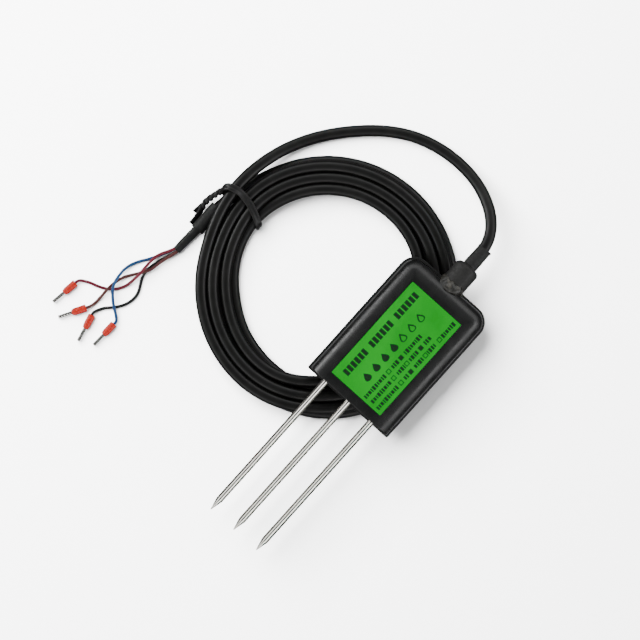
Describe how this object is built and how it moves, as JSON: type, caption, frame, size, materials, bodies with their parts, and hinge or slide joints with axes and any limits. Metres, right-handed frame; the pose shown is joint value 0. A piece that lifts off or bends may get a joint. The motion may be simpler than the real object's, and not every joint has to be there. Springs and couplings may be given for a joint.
{
  "type": "soil moisture sensor",
  "caption": "Wired soil moisture sensor: steel needle probes on a small potted plastic case with a label, and a long lead in a tied coil ending in ferruled cores.",
  "frame": {"origin": "middle of the rigid part's box (case, probes and cable boss), in the plane that holds the probes' axes", "axes": "+Y along the probes from their tips towards the lead, +X across the case, +Z out of the labelled face"},
  "size_m": [0.1432, 0.1799, 0.0251],
  "materials": {
    "case": "satin black moulding",
    "label": "printed green film",
    "steel": "ground stainless rod",
    "boss_rubber": "matte black",
    "sealant": "cloudy adhesive",
    "shrink_tube": "matte shrink tube",
    "jacket": "smooth black PVC",
    "tie": "black plastic over wire",
    "board": "green solder mask",
    "chip": "moulded epoxy",
    "can": "drawn metal can",
    "solder": "solder",
    "resin": "cast black resin",
    "collar": "orange-red plastic",
    "tin": "tinned copper",
    "core_red": "red insulation",
    "core_brown": "brown insulation",
    "core_black": "black insulation",
    "core_blue": "blue insulation"
  },
  "bodies": {
    "root": {"front_case": "case", "rear_cover": "case", "label": "label", "probe_left": "steel", "probe_centre": "steel", "probe_right": "steel", "circuit_board": "board", "microcontroller": "chip", "op_amp": "chip", "output_driver": "chip", "voltage_regulator": "chip", "protection_diode": "chip", "temperature_sensor": "chip", "filter_capacitor_input": "can", "filter_capacitor_output": "can", "power_inductor": "can", "crystal": "can", "solder_left": "solder", "solder_centre": "solder", "solder_right": "solder", "inner_lead_red": "core_red", "inner_lead_brown": "core_brown", "inner_lead_black": "core_black", "inner_lead_blue": "core_blue", "inner_cable_tie": "tie", "potting_compound": "resin", "cable_grommet": "boss_rubber", "sealant_bead": "sealant", "cable_entry": "jacket", "strain_relief_sleeve": "shrink_tube", "cable_loop": "jacket", "cable_coil": "jacket", "cable_tail": "jacket", "twist_tie": "tie", "tail_sleeve": "shrink_tube", "tail_boot": "shrink_tube", "wire_red": "core_red", "wire_brown": "core_brown", "wire_black": "core_black", "wire_blue": "core_blue", "ferrule_collar_red": "collar", "ferrule_collar_brown": "collar", "ferrule_collar_black": "collar", "ferrule_collar_blue": "collar", "ferrule_pin_red": "tin", "ferrule_pin_brown": "tin", "ferrule_pin_black": "tin", "ferrule_pin_blue": "tin"}
  },
  "joints": []
}
